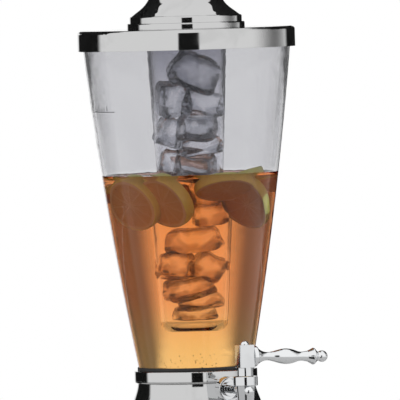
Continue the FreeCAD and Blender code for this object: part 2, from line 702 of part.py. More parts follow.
def spout_gasket():
    bottom = BODY_UNDERSIDE - SPOUT_GASKET_THICKNESS
    return at_tap(at_column(ring(SPOUT_SPIGOT_RADIUS, BODY_BOTTOM_RADIUS, bottom, BODY_UNDERSIDE)))


# ---- tap, turning pieces ------------------------------------------------------------------


def plug_bottom():
    return CHAMBER_FLOOR + PART_GAP


def plug_top():
    return BONNET_BOTTOM + BONNET_SPIGOT_HEIGHT - PACKING_HEIGHT - PART_GAP


def plug_grooves():
    """The rings cut out of the plug under and over its port, which the O-rings fill."""
    grooves = []
    for bottom in (TAP_LEVEL - LOWER_GROOVE_DROP, TAP_LEVEL + UPPER_GROOVE_RISE):
        grooves.append(ring(PLUG_RADIUS - GROOVE_DEPTH, PLUG_RADIUS, bottom, bottom + GROOVE_WIDTH))
    return grooves


def valve_plug():
    """Plug with an elbow port. The port faces away from the lever, so it is shut at rest."""
    body = disc(PLUG_RADIUS, plug_bottom(), plug_top())
    body = body.fuse(disc(STEM_RADIUS, plug_top(), HUB_BLOCK_BOTTOM))
    body = body.fuse(square_bar(SQUARE_SIDE, HUB_BLOCK_BOTTOM, HUB_TOP - 1.0))
    body = body.fuse(disc(CAP_THREAD_RADIUS, HUB_TOP - 1.0, HUB_TOP + 2.4))
    port = Part.makeCylinder(PLUG_PORT_RADIUS, PLUG_RADIUS + 1.0, V(0, 0, TAP_LEVEL), V(-1, 0, 0))
    for groove in plug_grooves():
        body = body.cut(groove)
    body = body.cut(port).cut(disc(PLUG_PORT_RADIUS, plug_bottom(), TAP_LEVEL))
    return at_tap(at_column(body.removeSplitter()))


def plug_o_rings():
    return at_tap(at_column(Part.makeCompound(plug_grooves())))


def lever_hub():
    block = rounded(square_bar(HUB_SIDE, HUB_BLOCK_BOTTOM, HUB_TOP), HUB_ROUND, is_upright)
    for level in (HUB_BLOCK_BOTTOM, HUB_TOP):
        block = rounded(block, HUB_ROUND / 2, is_level_at(level))
    body = block.fuse(disc(HUB_NECK_RADIUS, HUB_BOTTOM, HUB_BLOCK_BOTTOM + 1.0))
    body = body.cut(disc(STEM_RADIUS, HUB_BOTTOM, HUB_BLOCK_BOTTOM))
    body = body.cut(square_bar(SQUARE_SIDE, HUB_BLOCK_BOTTOM, HUB_TOP))
    return at_tap(at_column(body.cut(drooped(disc(STUD_RADIUS, 0, STUD_END))).removeSplitter()))


def drooped(shape):
    """Lays a piece that was built up +Z along the lever's axis."""
    laid = shape.copy()
    laid.rotate(ORIGIN, Y_AXIS, 90 + LEVER_DROOP)
    laid.translate(V(0, 0, LEVER_LEVEL))
    return laid


def lever_handle():
    rise = math.sqrt(BALL_RADIUS ** 2 - GROOVE_RADIUS ** 2)
    form = Outline(0, HUB_SIDE / 4).line(DISC_RADIUS, HUB_SIDE / 4).line(DISC_RADIUS, DISC_END - 1.6)
    form.arc((DISC_RADIUS - 0.45, DISC_END - 0.45), (DISC_RADIUS - 1.5, DISC_END))
    shoulder = (DISC_RADIUS - 4.6, DISC_END + 4.6)
    neck = (LEVER_NECK_RADIUS, LEVER_NECK_AT)
    swell = (LEVER_SWELL_RADIUS, LEVER_SWELL_AT)
    bulge = (BULGE_RADIUS, BULGE_AT)
    taper = (TAPER_RADIUS, TAPER_AT)
    waist = (WAIST_RADIUS, WAIST_AT)
    throat = (THROAT_RADIUS, THROAT_AT)
    bead = (BEAD_RADIUS - 0.5, BEAD_AT - 1.4)
    knots = [shoulder, neck, swell, bulge, taper, waist, throat, bead]
    form.curve(knots, (-0.6, 0.8), (0.45, 0.9))
    form.arc((BEAD_RADIUS, BEAD_AT), (BEAD_RADIUS - 0.8, BEAD_AT + 1.4)).line(GROOVE_RADIUS, GROOVE_AT)
    form.line(GROOVE_RADIUS, BALL_AT - rise).arc((BALL_RADIUS, BALL_AT), (0, BALL_AT + BALL_RADIUS))
    body = drooped(form.solid().cut(disc(STUD_RADIUS, 0, STUD_END)))
    behind = Part.makeBox(100, 100, 100, V(HUB_SIDE / 2 - 100, -50, LEVER_LEVEL - 50))
    return at_tap(at_column(body.cut(behind)))


def lever_stud():
    return at_tap(at_column(drooped(disc(STUD_RADIUS, SQUARE_SIDE / 2 + 0.4, STUD_END - 0.5))))


def hub_cap():
    form = Outline(0, HUB_TOP).line(CAP_RADIUS, HUB_TOP).line(CAP_RADIUS, HUB_TOP + 1.0)
    form.dome(CAP_HEIGHT - 1.0)
    return at_tap(at_column(form.solid().cut(disc(CAP_THREAD_RADIUS, HUB_TOP, HUB_TOP + 2.5))))


# ---- all pieces ---------------------------------------------------------------------------

PIECES = (
    pedestal, base_plate, base_plate_screws, base_plate_nuts, foot_pad,
    base_collar, tank, tank_seat, collar_gasket,
    lid, lid_gasket, lid_neck_ring, tube_gasket, ice_tube,
    dome_base_ring, dome_seal, dome, finial_washer, finial, finial_screw,
    tap_block, tap_shank, shank_outer_washer, shank_inner_washer, shank_backing_washer, shank_lock_nut,
    union_nut, tap_body, clean_out_screw, bonnet_nut, stem_packing, spout, spout_gasket,
    valve_plug, plug_o_rings, lever_hub, lever_handle, lever_stud, hub_cap,
)

os.makedirs("parts", exist_ok=True)
for piece in PIECES:
    shape = piece()
    shape.exportStep("parts/" + piece.__name__ + ".step")
    facts = f"solids {len(shape.Solids)} valid {shape.isValid()} volume {shape.Volume:.1f}"
    print(f"{piece.__name__:22s} {facts}")
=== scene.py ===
"""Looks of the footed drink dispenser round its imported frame.

Blender works in metres, +Z up, front towards -Y. The contents' sizes and places are in mm, as in
the CAD frame, and MM turns them into metres.
"""

import math
import random

import bmesh
import bpy
from mathutils import Euler, Matrix, Vector, noise


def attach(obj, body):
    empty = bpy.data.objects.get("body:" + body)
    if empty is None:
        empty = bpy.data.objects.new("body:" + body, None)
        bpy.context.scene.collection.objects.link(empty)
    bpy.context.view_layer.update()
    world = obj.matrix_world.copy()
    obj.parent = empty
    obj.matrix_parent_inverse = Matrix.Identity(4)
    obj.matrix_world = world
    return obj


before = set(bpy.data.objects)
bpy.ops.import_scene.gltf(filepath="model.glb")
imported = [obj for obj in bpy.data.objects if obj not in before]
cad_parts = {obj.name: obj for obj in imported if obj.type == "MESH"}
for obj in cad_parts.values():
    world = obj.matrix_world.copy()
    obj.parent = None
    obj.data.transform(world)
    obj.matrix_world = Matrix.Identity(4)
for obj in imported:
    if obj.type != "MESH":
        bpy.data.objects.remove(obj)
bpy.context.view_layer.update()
scene = bpy.context.scene
random.seed(7)
noise.seed_set(7)  # else noise_vector starts from the clock

# ---- sizes of the contents (mm) ------------------------------------------------------------

MM = 0.001
ROUND_STEPS = 128  # of the drink and the seal's lip

SUMP_FLOOR = 113.0
SUMP_RADIUS = 41.5
SUMP_TOP = 150.5
TANK_ARC = ((52.9, 154.0), (81.73, 325.35), (102.74, 497.0))  # (radius, level) on the inside
TANK_WALL = 4.46  # across, at any level

DRINK_LEVEL = 352.0
DRINK_CLIMB = 1.6  # how far the drink creeps up the wall
DRINK_BANDS = 44  # of its wall
INTO_WALL = 1.2  # the drink reaches this far into the glass, so the two refract as one
SUMP_FLAT = (30, SUMP_RADIUS - 1)  # radii of the drink's flat rings on the sump's floor
SUMP_BEVEL = 2  # height of the bevel between that floor and the sump's wall
SUMP_GAP = 1.5  # the straight wall ends this far below the sump's top
# the surface near the wall: in from the wall, above the drink's level
MENISCUS = ((0.3, 1.4), (1.0, 0.8), (2.2, 0.3), (4.0, 0.05), (8.0, 0.0), (30.0, 0.0))

CUBE_GRID = 12  # cells along each edge of an ice cube
CUBE_FLAT = 0.55  # share of the half size that stays flat, before the edges round off
CUBE_DIMPLE = 0.22  # depth of the hollow in the top face, as a share of the half size
CUBE_PINCH = 0.1  # how much narrower the top is than the middle
CUBE_LUMPS = ((0.08, 0.9), (0.03, 2.6))  # height and rate of the unevenness, coarse then fine
CUBE_LUMP_OFFSET = (3.1, 1.7, 0.9)  # from one cube's unevenness to the next one's

LEMON_RADIUS = 29.0
LEMON_SEGMENTS = 10
SLICE_STEPS, SLICE_RINGS, RIND_STEPS = 120, 22, 8
SLICE_OVAL, SLICE_WAVE = 0.012, 0.006  # how far the outline is from round
SLICE_SPIN = 0.7  # radians from one slice to the next
FACE_SHARE, RIND_SHARE = 0.955, 0.045  # of the radius: the flat face, and the round rind outside
FLESH_SHARE, PITH_SHARE = 0.86, 0.14  # of the radius: the flesh, and the pith outside
PITH_DROP, RIND_DROP = 0.02, 0.98  # the pith falls by this share, and the rind starts at this one
MEMBRANE_SHARE, CORE_SHARE = 0.010, 0.07  # of the radius: half a membrane, and the core
SEGMENT_DEPTH, SEGMENT_LUMPS = 0.35, 0.12  # how far the segments are pressed in, and unevenly

BUBBLE_GAP = 0.15  # between a bubble and the wall
BUBBLES = (
    # number, then spans: angle from the front in radians, level, radius
    (46, (-0.75, 0.55), (157, 172), (0.25, 0.55)),
    (40, (-math.pi, math.pi), (DRINK_LEVEL - 14, DRINK_LEVEL - 2), (0.2, 0.5)),
)

# radius, level
LIP_SECTION = (
    (57.4, 153.4), (59.2, 153.4), (59.2, 156.4), (58.9, 157.2), (58.4, 157.5), (57.9, 157.2),
)

MARK_FACES = (-0.15, 0.15)  # the print's inner and outer face, from the tank's outside
MARK_LINE = ((-78, -49), (418.6, 419.3), 24)  # angles in degrees, levels, parts
TICKS, TICK_START, TICK_STEP, TICK_WIDTH = 7, -76, 3.3, 0.35
TICK_FOOT, TICK_HEAD, LONG_TICK_HEAD = 420.0, 422.6, 425.0


def circle_through(a, b, c):
    """Centre and radius of the circle through three points."""
    d = 2 * (a[0] * (b[1] - c[1]) + b[0] * (c[1] - a[1]) + c[0] * (a[1] - b[1]))
    sq = [p[0] ** 2 + p[1] ** 2 for p in (a, b, c)]
    x = (sq[0] * (b[1] - c[1]) + sq[1] * (c[1] - a[1]) + sq[2] * (a[1] - b[1])) / d
    y = (sq[0] * (c[0] - b[0]) + sq[1] * (a[0] - c[0]) + sq[2] * (b[0] - a[0])) / d
    return (x, y), math.hypot(a[0] - x, a[1] - y)


ARC_CENTRE, ARC_RADIUS = circle_through(*TANK_ARC)


def tank_inner(z):
    """The tank's inner radius at a level, above its base curve."""
    reach = math.sqrt(ARC_RADIUS**2 - (z - ARC_CENTRE[1]) ** 2)
    return ARC_CENTRE[0] + math.copysign(reach, TANK_ARC[0][0] - ARC_CENTRE[0])


# ---- node helpers --------------------------------------------------------------------------


def rgba(color):
    """A plain colour with its alpha added; anything else as it is."""
    if isinstance(color, tuple) and len(color) == 3:
        return (*color, 1.0)
    return color


def mix_shaders(tree, factor, first, second, out):
    """Mixes two shaders into an output's surface; factor 0 is the first."""
    n = tree.nodes.new("ShaderNodeMixShader")
    for source, socket in zip((factor, first, second), n.inputs):
        tree.links.new(source, socket)
    tree.links.new(n.outputs[0], out.inputs["Surface"])


class Mat:
    """A node material with a Principled shader and short ways to wire textures into it."""

    def __init__(self, name, **sockets):
        self.mat = bpy.data.materials.new(name)
        self.mat.use_nodes = True
        self.tree = self.mat.node_tree
        self.bsdf = self.tree.nodes["Principled BSDF"]
        self.out = self.tree.nodes["Material Output"]
        coords = self.tree.nodes.new("ShaderNodeTexCoord").outputs
        self.coord, self.boxed = coords["Object"], coords["Generated"]
        for key, value in sockets.items():
            self.bsdf.inputs[key.replace("_", " ")].default_value = value

    def node(self, kind, **props):
        n = self.tree.nodes.new(kind)
        for key, value in props.items():
            setattr(n, key, value)
        return n

    def put(self, value, socket):
        """Links a socket's output, or writes a number or colour; None leaves the default."""
        if isinstance(value, bpy.types.NodeSocket):
            self.tree.links.new(value, socket)
        elif value is not None:
            socket.default_value = value

    def set(self, socket, value):
        self.put(value, self.bsdf.inputs[socket])

    def math(self, operation, a, b=None, c=None):
        n = self.node("ShaderNodeMath", operation=operation)
        for value, socket in zip((a, b, c), n.inputs):
            self.put(value, socket)
        return n.outputs[0]

    def length(self, vector):
        n = self.node("ShaderNodeVectorMath", operation="LENGTH")
        self.put(vector, n.inputs[0])
        return n.outputs["Value"]

    def split(self):
        n = self.node("ShaderNodeSeparateXYZ")
        self.put(self.coord, n.inputs[0])
        return n.outputs

    def joined(self, *parts):
        n = self.node("ShaderNodeCombineXYZ")
        for value, socket in zip(parts, n.inputs):
            self.put(value, socket)
        return n.outputs[0]

    def mapping(self, scale=(1, 1, 1), rotation=(0, 0, 0), location=(0, 0, 0), vector=None):
        n = self.node("ShaderNodeMapping")
        self.put(vector or self.coord, n.inputs["Vector"])
        n.inputs["Scale"].default_value = scale
        n.inputs["Rotation"].default_value = rotation
        n.inputs["Location"].default_value = location
        return n.outputs[0]

    def noise(self, scale, detail=3, vector=None, distortion=0.0, roughness=0.5):
        n = self.node("ShaderNodeTexNoise")
        self.put(vector or self.coord, n.inputs["Vector"])
        n.inputs["Scale"].default_value = scale
        n.inputs["Detail"].default_value = detail
        n.inputs["Roughness"].default_value = roughness
        n.inputs["Distortion"].default_value = distortion
        return n.outputs["Fac"]

    def cells(self, scale, vector=None):
        n = self.node("ShaderNodeTexVoronoi")
        self.put(vector or self.coord, n.inputs["Vector"])
        n.inputs["Scale"].default_value = scale
        return n.outputs["Distance"]

    def ranged(self, value, low, high, to_low=0.0, to_high=1.0, smooth=False):
        n = self.node("ShaderNodeMapRange")
        n.interpolation_type = "SMOOTHSTEP" if smooth else "LINEAR"
        self.put(value, n.inputs["Value"])
        n.inputs["From Min"].default_value = low
        n.inputs["From Max"].default_value = high
        n.inputs["To Min"].default_value = to_low
        n.inputs["To Max"].default_value = to_high
        return n.outputs["Result"]

    def mixed(self, factor, a, b):
        n = self.node("ShaderNodeMix", data_type="RGBA")
        self.put(factor, n.inputs[0])
        self.put(rgba(a), n.inputs[6])
        self.put(rgba(b), n.inputs[7])
        return n.outputs[2]

    def bump(self, height, strength, distance, normal=None):
        n = self.node("ShaderNodeBump")
        n.inputs["Strength"].default_value = strength
        n.inputs["Distance"].default_value = distance
        self.put(height, n.inputs["Height"])
        self.put(normal, n.inputs["Normal"])
        self.tree.links.new(n.outputs[0], self.bsdf.inputs["Normal"])
        return n.outputs[0]

    def absorb(self, color, density):
        n = self.node("ShaderNodeVolumeAbsorption")
        n.inputs["Color"].default_value = rgba(color)
        n.inputs["Density"].default_value = density
        self.tree.links.new(n.outputs[0], self.out.inputs["Volume"])


# ---- materials -----------------------------------------------------------------------------

# Levels in metres between which the tea's and the tube's tints change; these tints are painted
# light and painted shade.
TEA_PAINTED_LIGHT_LEVELS = (0.165, 0.24)
TEA_PAINTED_SHADE_LEVELS = (0.26, 0.35)
TUBE_SHADE = (0.40, 0.50)


def chrome(name, color, rough, worn):
    """Polished chrome with smudges and hairlines; worn is how far the smudges dull it."""
    m = Mat(name, Metallic=1.0)
    broad = m.noise(24, 2)
    smudge = m.ranged(m.noise(34, 4, distortion=0.6), 0.5, 0.72, smooth=True)
    hairs = m.noise(1.0, 3, m.mapping(scale=(160, 160, 5200)), roughness=0.7)
    streaks = m.cells(1.0, m.mapping((30, 900, 260), (0.5, 0.9, 0.3)))
    scratch = m.ranged(streaks, 0.0, 0.045, 1.0, 0.0)
    dull = tuple(0.86 * c for c in color)
    m.set("Base Color", m.mixed(m.math("MULTIPLY", smudge, worn), color, dull))
    level = m.math("MULTIPLY_ADD", smudge, 0.05, rough)
    level = m.math("MULTIPLY_ADD", scratch, 0.06, level)
    m.set("Roughness", m.math("MULTIPLY_ADD", hairs, 0.02, level))
    edge = m.node("ShaderNodeBevel", samples=4)
    edge.inputs["Radius"].default_value = 0.0005
    wave = m.bump(broad, 0.12, 0.0006, edge.outputs[0])
    m.bump(hairs, 0.05, 0.00002, wave)
    return m.mat


def steel():
    """Bright steel with a fine grain."""
    m = Mat("steel_bright", Metallic=1.0)
    grain = m.noise(1.0, 4, m.mapping((900, 900, 90)))
    m.set("Base Color", m.mixed(m.noise(60, 3), (0.52, 0.52, 0.53), (0.40, 0.40, 0.41)))
    m.set("Roughness", m.ranged(grain, 0.2, 0.8, 0.16, 0.36))
    m.bump(grain, 0.2, 0.00005)
    return m.mat


def brass():
    """Turned brass with rings from the lathe."""
    m = Mat("brass_turned", Metallic=1.0)
    grain = m.noise(1.0, 4, m.mapping((200, 200, 3000)))
    m.set("Base Color", m.mixed(m.noise(90, 4), (0.66, 0.46, 0.17), (0.42, 0.27, 0.10)))
    m.set("Roughness", m.ranged(grain, 0.2, 0.8, 0.15, 0.40))
    m.bump(grain, 0.2, 0.00005)
    return m.mat


def rubber():
    """Black rubber with a speckled skin."""
    m = Mat("black_rubber_skin")
    speck = m.noise(1400, 3)
    m.set("Base Color", m.mixed(m.noise(70, 3), (0.020, 0.020, 0.021), (0.045, 0.043, 0.042)))
    m.set("Roughness", m.ranged(speck, 0.3, 0.7, 0.55, 0.80))
    m.bump(speck, 0.25, 0.00008)
    return m.mat


def silicone():
    """Milky, half clear silicone."""
    m = Mat("silicone_milky", IOR=1.41, Transmission_Weight=0.75)
    cloud = m.noise(120, 3)
    m.set("Base Color", m.mixed(cloud, (0.78, 0.79, 0.80), (0.62, 0.63, 0.65)))
    m.set("Roughness", m.ranged(cloud, 0.3, 0.7, 0.28, 0.45))
    m.bump(m.noise(900, 2), 0.15, 0.00005)
    return m.mat


def white_plastic():
    """White moulded plastic with a faint grain."""
    m = Mat("white_moulded", Subsurface_Weight=0.08)
    grain = m.noise(700, 3)
    m.set("Base Color", m.mixed(m.noise(50, 3), (0.80, 0.80, 0.78), (0.70, 0.70, 0.68)))
    m.set("Roughness", m.ranged(grain, 0.3, 0.7, 0.30, 0.48))
    m.bump(grain, 0.12, 0.00005)
    return m.mat


def clear_tank():
    """Clear plastic, slightly smoked, with handling marks, a faint haze, and painted shade: a
    greyer tint above the drink.
    """
    m = Mat("clear_tank", IOR=1.47, Transmission_Weight=1.0)
    m.bsdf.inputs["Specular Tint"].default_value = (0.35, 0.35, 0.35, 1.0)
    z = m.split()[2]
    above = m.ranged(z, (DRINK_LEVEL - 8) * MM, (DRINK_LEVEL + 8) * MM, smooth=True)
    cloud = m.noise(14, 4, distortion=0.4)
    # painted shade: the tank's tint is greyer above the drink, where it looks darker
    painted_dry_shade = m.mixed(cloud, (0.80, 0.80, 0.81), (0.73, 0.73, 0.75))
    m.set("Base Color", m.mixed(above, (1.0, 1.0, 1.0), painted_dry_shade))
    streaks = m.cells(1.0, m.mapping((70, 500, 90), (0.2, 0.5, 0.8)))
    marks = m.ranged(streaks, 0.0, 0.02, 1.0, 0.0)
    haze = m.ranged(cloud, 0.45, 0.75, 0.0, 0.03)
    m.set("Roughness", m.math("MULTIPLY_ADD", marks, 0.10, haze))
    flow = m.noise(1.0, 2, m.mapping((26, 26, 7)))
    m.bump(flow, 0.06, 0.0010)
    m.absorb((0.45, 0.46, 0.50), 8.0)
    return m.mat


def clear_tube():
    """The ice tube: clear below the drink, misted by the ice in air, and with painted shade:
    greyer under the lid.
    """
    m = Mat("clear_tube", IOR=1.47, Transmission_Weight=1.0)
    m.bsdf.inputs["Specular Tint"].default_value = (0.5, 0.5, 0.5, 1.0)
    z = m.split()[2]
    above = m.ranged(z, (DRINK_LEVEL - 4) * MM, (DRINK_LEVEL + 10) * MM, smooth=True)
    cloud = m.noise(22, 4, distortion=0.7)
    mist_and_painted_shade = m.mixed(cloud, (0.94, 0.94, 0.96), (0.84, 0.84, 0.88))
    # painted shade: the mist turns greyer towards the top, under the lid
    mist_and_painted_shade = m.mixed(m.ranged(z, *TUBE_SHADE, smooth=True), mist_and_painted_shade, (0.56, 0.56, 0.61))
    m.set("Base Color", m.mixed(above, (0.97, 0.97, 0.97), mist_and_painted_shade))
    drops = m.ranged(m.cells(260), 0.30, 0.0, 0.0, 1.0)
    beads = m.math("MULTIPLY", drops, above)
    m.set("Roughness", m.math("MULTIPLY", m.ranged(cloud, 0.45, 0.8, 0.0, 0.10), above))
    m.bump(m.math("ADD", beads, m.noise(18, 2)), 0.10, 0.0006)
    return m.mat


def tea():
    """Tea of one absorption, with painted light in its surface tint: bright yellow low down, then
    painted shade, a redder and darker amber, higher up.
    """
    m = Mat("iced_tea", IOR=1.333, Transmission_Weight=1.0)
    z = m.split()[2]
    # painted light: the yellow foot stands in for the bright light low in the tea, and the
    # redder, darker tints above are painted shade
    foot = m.mixed(m.noise(12, 3), (1.0, 0.97, 0.78), (1.0, 0.93, 0.72))
    body = m.mixed(m.ranged(z, *TEA_PAINTED_LIGHT_LEVELS, smooth=True), foot, (1.0, 0.65, 0.57))
    m.set("Base Color", m.mixed(m.ranged(z, *TEA_PAINTED_SHADE_LEVELS, smooth=True), body, (0.92, 0.60, 0.52)))
    m.set("Roughness", m.ranged(m.noise(30, 2), 0.4, 0.8, 0.0, 0.012))
    m.bump(m.noise(28, 2), 0.05, 0.0015)
    # The drink overlaps the wall, so its own boundary must hardly mirror anything.
    m.bsdf.inputs["Specular Tint"].default_value = (0.1, 0.1, 0.1, 1.0)
    m.absorb((0.98, 0.74, 0.32), 20.0)
    return m.mat


def ice(name, ior, painted_edge_shade):
    """Ice with a painted highlight in the middle of each cube's own box, painted shade towards
    its edges, and pits.
    """
    m = Mat(name, IOR=ior)
    cloud = m.noise(48, 4, distortion=0.8)
    from_middle = m.length(m.mapping((2, 2, 2), location=(-1, -1, -1), vector=m.boxed))
    uneven = m.math("MULTIPLY_ADD", cloud, -0.9, from_middle)
    painted_highlight = m.ranged(uneven, 0.58, 0.80, 1.0, 0.0, smooth=True)
    # painted highlight in each cube's middle, painted shade towards its edges
    m.set("Base Color", m.mixed(painted_highlight, painted_edge_shade, (1.0, 1.0, 1.0)))
    m.set("Transmission Weight", m.math("MULTIPLY_ADD", painted_highlight, -0.04, 1.0))
    m.set("Roughness", m.math("MULTIPLY_ADD", painted_highlight, 0.08, 0.008))
    pits = m.ranged(m.cells(420), 0.0, 0.2, 1.0, 0.0, smooth=True)
    m.bump(m.math("MULTIPLY_ADD", pits, 0.25, m.noise(70, 3)), 0.30, 0.0011)
    return m.mat


def lemon_skin(radius):
    """Slice of lemon: ten segments with membranes, white pith and a green-yellow rind."""
    m = Mat("lemon_slice_flesh", Subsurface_Weight=0.22, Subsurface_Scale=0.004, IOR=1.38)
    m.bsdf.inputs["Subsurface Radius"].default_value = (1.0, 0.75, 0.3)
    x, y, z = m.split()
    wobble = m.ranged(m.noise(90, 3), 0.2, 0.8, -0.02, 0.02)
    r = m.math("ADD", m.math("DIVIDE", m.length(m.joined(x, y)), radius), wobble)
    turn = m.math("DIVIDE", m.math("ARCTAN2", y, x), 2 * math.pi)
    bent = m.math("ADD", turn, m.ranged(m.noise(50, 2), 0.2, 0.8, -0.012, 0.012))
    part = m.math("FRACT", m.math("MULTIPLY_ADD", bent, LEMON_SEGMENTS, LEMON_SEGMENTS))
    across = m.math("ABSOLUTE", m.math("SUBTRACT", part, 0.5))
    gap = m.math("MULTIPLY", m.math("SUBTRACT", 0.5, across), r)
    wall = m.ranged(gap, 0.012, 0.045, 1.0, 0.0, smooth=True)
    core = m.ranged(r, 0.07, 0.13, 1.0, 0.0, smooth=True)
    inside = m.math("MULTIPLY", m.math("MAXIMUM", wall, core), 0.5)
    pith = m.math("MAXIMUM", inside, m.ranged(r, 0.83, 0.87, smooth=True))
    rates = ((turn, 210), (r, 9), (z, 400))
    radial = [m.math("MULTIPLY", value, rate) for value, rate in rates]
    sacs = m.cells(1.0, m.joined(*radial))
    flesh = m.mixed(m.ranged(sacs, 0.1, 0.9), (0.80, 0.52, 0.22), (0.68, 0.38, 0.14))
    body = m.mixed(pith, flesh, (0.82, 0.60, 0.32))
    skin = m.mixed(m.noise(120, 4), (1.0, 0.94, 0.34), (0.90, 0.83, 0.26))
    rind = m.ranged(r, 0.945, 0.965, smooth=True)
    m.set("Base Color", m.mixed(rind, body, skin))
    m.set("Roughness", m.ranged(sacs, 0.0, 1.0, 0.22, 0.42))
    height = m.math("SUBTRACT", m.math("MULTIPLY", sacs, 0.5), m.math("MULTIPLY", wall, 0.4))
    pores = m.math("MULTIPLY", m.cells(700), rind)
    m.bump(m.math("ADD", height, pores), 0.55, 0.0006)
    return m.mat


def gas():
    """Gas bubbles, with painted shade: coloured dark brown, as dark as they look against the
    drink.
    """
    m = Mat("gas_bubble_painted_shade", IOR=1.33, Transmission_Weight=1.0)
    # painted shade: the clear gas is coloured dark brown
    m.set("Base Color", m.mixed(m.noise(400, 2), (0.12, 0.07, 0.04), (0.30, 0.20, 0.12)))
    m.set("Roughness", m.ranged(m.noise(900, 2), 0.3, 0.7, 0.02, 0.12))
    m.bump(m.noise(1500, 2), 0.1, 0.00003)
    return m.mat


def printed_mark():
    """Dark ink of the fill mark."""
    m = Mat("printed_mark_ink")
    m.set("Base Color", m.mixed(m.noise(300, 3), (0.05, 0.05, 0.06), (0.16, 0.16, 0.17)))
    m.set("Roughness", m.ranged(m.noise(600, 2), 0.2, 0.8, 0.35, 0.6))
    m.bump(m.noise(900, 2), 0.2, 0.00004)
    return m.mat


MATERIALS = {
    chrome("chrome_polished", (0.60, 0.60, 0.60), rough=0.035, worn=0.5): (
        "pedestal", "base_collar", "lid", "dome_base_ring", "dome", "finial",
    ),
    # painted light: the tap's and the lever's chrome are lighter copies of the same chrome,
    # standing in for the brighter light they reflect
    chrome("chrome_tap_painted_lighter", (0.70, 0.71, 0.72), rough=0.03, worn=0.35): (
        "tap_block", "union_nut", "tap_body", "bonnet_nut", "spout", "lever_hub",
    ),
    chrome("chrome_lever_painted_highlight", (0.84, 0.85, 0.86), rough=0.05, worn=0.3): (
        "clean_out_screw", "lever_handle", "hub_cap",
    ),
    steel(): (
        "base_plate", "base_plate_screws", "base_plate_nuts", "finial_screw", "tap_shank",
        "shank_backing_washer", "shank_lock_nut", "lever_stud",
    ),
    brass(): ("valve_plug",),
    rubber(): (
        "foot_pad", "plug_o_rings", "stem_packing", "spout_gasket", "finial_washer", "dome_seal",
        "tank_seat", "collar_gasket",
    ),
    silicone(): ("lid_gasket", "tube_gasket", "shank_outer_washer", "shank_inner_washer"),
    white_plastic(): ("lid_neck_ring",),
    clear_tank(): ("tank",),
    clear_tube(): ("ice_tube",),
}
for material, names in MATERIALS.items():
    for name in names:
        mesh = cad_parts[name].data
        mesh.materials.clear()
        mesh.materials.append(material)


# ---- contents ------------------------------------------------------------------------------


def add_mesh(name, bm, material, smooth=True):
    """Makes an object of a bmesh, whose points are in metres in the object's own frame."""
    mesh = bpy.data.meshes.new(name)
    bmesh.ops.recalc_face_normals(bm, faces=bm.faces)
    bm.to_mesh(mesh)
    bm.free()
    for face in mesh.polygons:
        face.use_smooth = smooth
    mesh.materials.append(material)
    obj = bpy.data.objects.new(name, mesh)
    scene.collection.objects.link(obj)
    return obj


def rings_of(bm, points, steps):
    """One ring of vertices round the axis for each (radius, level) point."""
    rings = []
    for r, z in points:
        ring = []
        for i in range(steps):
            a = 2 * math.pi * i / steps
            ring.append(bm.verts.new((r * math.cos(a) * MM, r * math.sin(a) * MM, z * MM)))
        rings.append(ring)
    return rings


def drink():
    """The tea, a solid of revolution from the sump's floor to the surface."""
    floor, wall = SUMP_FLOOR - INTO_WALL, SUMP_RADIUS + INTO_WALL
    points = [(r, floor) for r in SUMP_FLAT]
    points += [(wall, floor + SUMP_BEVEL), (wall, SUMP_TOP - SUMP_GAP)]
    first, last = TANK_ARC[0][1], DRINK_LEVEL + DRINK_CLIMB
    for i in range(DRINK_BANDS + 1):
        z = first + (last - first) * i / DRINK_BANDS
        points.append((tank_inner(z) + INTO_WALL, z))
    rim = tank_inner(DRINK_LEVEL)
    points += [(rim - inside, DRINK_LEVEL + rise) for inside, rise in MENISCUS]
    bm = bmesh.new()
    low = bm.verts.new((0, 0, floor * MM))
    high = bm.verts.new((0, 0, DRINK_LEVEL * MM))
    rings = rings_of(bm, points, ROUND_STEPS)
    for i in range(ROUND_STEPS):
        j = (i + 1) % ROUND_STEPS
        bm.faces.new((low, rings[0][j], rings[0][i]))
        bm.faces.new((high, rings[-1][i], rings[-1][j]))
        for a, b in zip(rings, rings[1:]):
            bm.faces.new((a[i], a[j], b[j], b[i]))
    return add_mesh("drink", bm, tea())


def ice_cube(name, centre, size, turn, seed, material):
    """A rounded lump of ice with one hollowed face, grown from a gridded box."""
    bm = bmesh.new()
    made = {}

    def vertex(*key):
        if key not in made:
            made[key] = bm.verts.new([2 * t / CUBE_GRID - 1 for t in key])
        return made[key]

    corners = ((0, 0), (1, 0), (1, 1), (0, 1))
    for i in range(CUBE_GRID):
        for j in range(CUBE_GRID):
            for side in (0, CUBE_GRID):
                bm.faces.new([vertex(i + a, j + b, side) for a, b in corners])
                bm.faces.new([vertex(i + a, side, j + b) for a, b in corners])
                bm.faces.new([vertex(side, i + a, j + b) for a, b in corners])
    offset = Vector([seed * t for t in CUBE_LUMP_OFFSET])
    for v in bm.verts:
        p = v.co.copy()
        inner = Vector([max(-CUBE_FLAT, min(CUBE_FLAT, t)) for t in p])
        away = p - inner
        if away.length > 0:
            p = inner + away.normalized() * max(abs(t) for t in away)
        hollow = max(0.0, 1 - p.x * p.x - p.y * p.y)
        if p.z > 0:
            p.z -= CUBE_DIMPLE * hollow * p.z
        p.x *= 1 - CUBE_PINCH * p.z
        p.y *= 1 - CUBE_PINCH * p.z
        for height, rate in CUBE_LUMPS:
            p += height * Vector(noise.noise_vector(p * rate + offset))
        v.co = Vector([t * across / 2 for t, across in zip(p, size)]) * MM
    obj = add_mesh(name, bm, material)
    turned = Euler([math.radians(t) for t in turn]).to_matrix().to_4x4()
    obj.matrix_world = Matrix.Translation(Vector(centre) * MM) @ turned
    smooth = obj.modifiers.new("smooth", "SUBSURF")
    smooth.levels = smooth.render_levels = 1
    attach(obj, "ice_holder")


